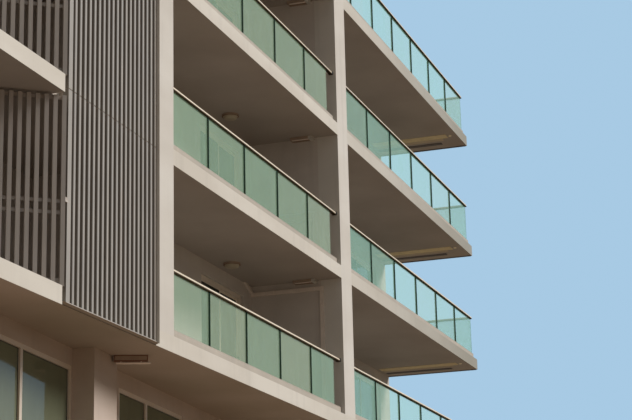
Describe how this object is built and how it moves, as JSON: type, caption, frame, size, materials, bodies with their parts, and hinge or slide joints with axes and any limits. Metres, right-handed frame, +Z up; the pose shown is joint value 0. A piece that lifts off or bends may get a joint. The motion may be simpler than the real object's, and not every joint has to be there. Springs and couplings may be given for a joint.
{
  "type": "apartment block",
  "caption": "Modern apartment block with long glass-fronted balconies, vertical louvre screens, a recessed glazed base and a flat roof terrace",
  "frame": {"origin": "centre of the building's footprint, on the ground", "axes": "+X along the street front towards the open balcony corner, +Y from the street into the building, +Z up"},
  "size_m": [32.601, 12.6074, 17.78],
  "materials": {
    "slab_render": "smooth painted render",
    "pillar_render": "smooth painted render",
    "wall_render": "painted render",
    "floor_concrete": "trowelled concrete",
    "louvre_metal": "powder coated taupe",
    "balustrade_glass": "clear green-tinted glass",
    "window_glass": "dark tinted glass",
    "handrail": "satin warm beige",
    "kerb_channel": "matt painted channel",
    "window_frame": "powder coated pale taupe",
    "light_housing": "matt white",
    "trunking_plastic": "matt painted over"
  },
  "bodies": {
    "root": {"angled_rails": "louvre_metal", "base_piers": "wall_render", "base_wall_left": "wall_render", "base_wall_rear": "wall_render", "base_wall_recess": "wall_render", "base_wall_right": "wall_render", "base_window_frames": "window_frame", "base_window_glass": "window_glass", "batten_light": "light_housing", "box_lights": "light_housing", "cable_trunking": "trunking_plastic", "door_frames": "window_frame", "door_glass": "window_glass", "door_leaves": "window_frame", "east_angled_slats": "louvre_metal", "east_end_wall": "wall_render", "east_louvre_slats": "louvre_metal", "first_balcony_walls": "wall_render", "first_floor": "floor_concrete", "first_glass": "balustrade_glass", "first_handrail": "handrail", "first_kerb": "kerb_channel", "first_rear_wall": "wall_render", "first_slab": "slab_render", "ground_floor": "floor_concrete", "left_dividing_wall": "wall_render", "left_pillar": "pillar_render", "louvre_rails": "louvre_metal", "rear_window_frames": "window_frame", "rear_window_glass": "window_glass", "recess_walls": "wall_render", "right_dividing_wall": "wall_render", "right_pillar": "pillar_render", "roof_glass": "balustrade_glass", "roof_handrail": "handrail", "roof_kerb": "kerb_channel", "roof_parapet": "wall_render", "roof_slab": "slab_render", "round_lights": "light_housing", "second_balcony_walls": "wall_render", "second_glass": "balustrade_glass", "second_handrail": "handrail", "second_kerb": "kerb_channel", "second_rear_wall": "wall_render", "second_slab": "slab_render", "stair_window_frames": "window_frame", "stair_window_glass": "window_glass", "third_balcony_walls": "wall_render", "third_glass": "balustrade_glass", "third_handrail": "handrail", "third_kerb": "kerb_channel", "third_rear_wall": "wall_render", "third_slab": "slab_render", "west_angled_slats": "louvre_metal", "west_end_wall": "wall_render", "west_louvre_slats": "louvre_metal", "west_pillar": "pillar_render"}
  },
  "joints": []
}
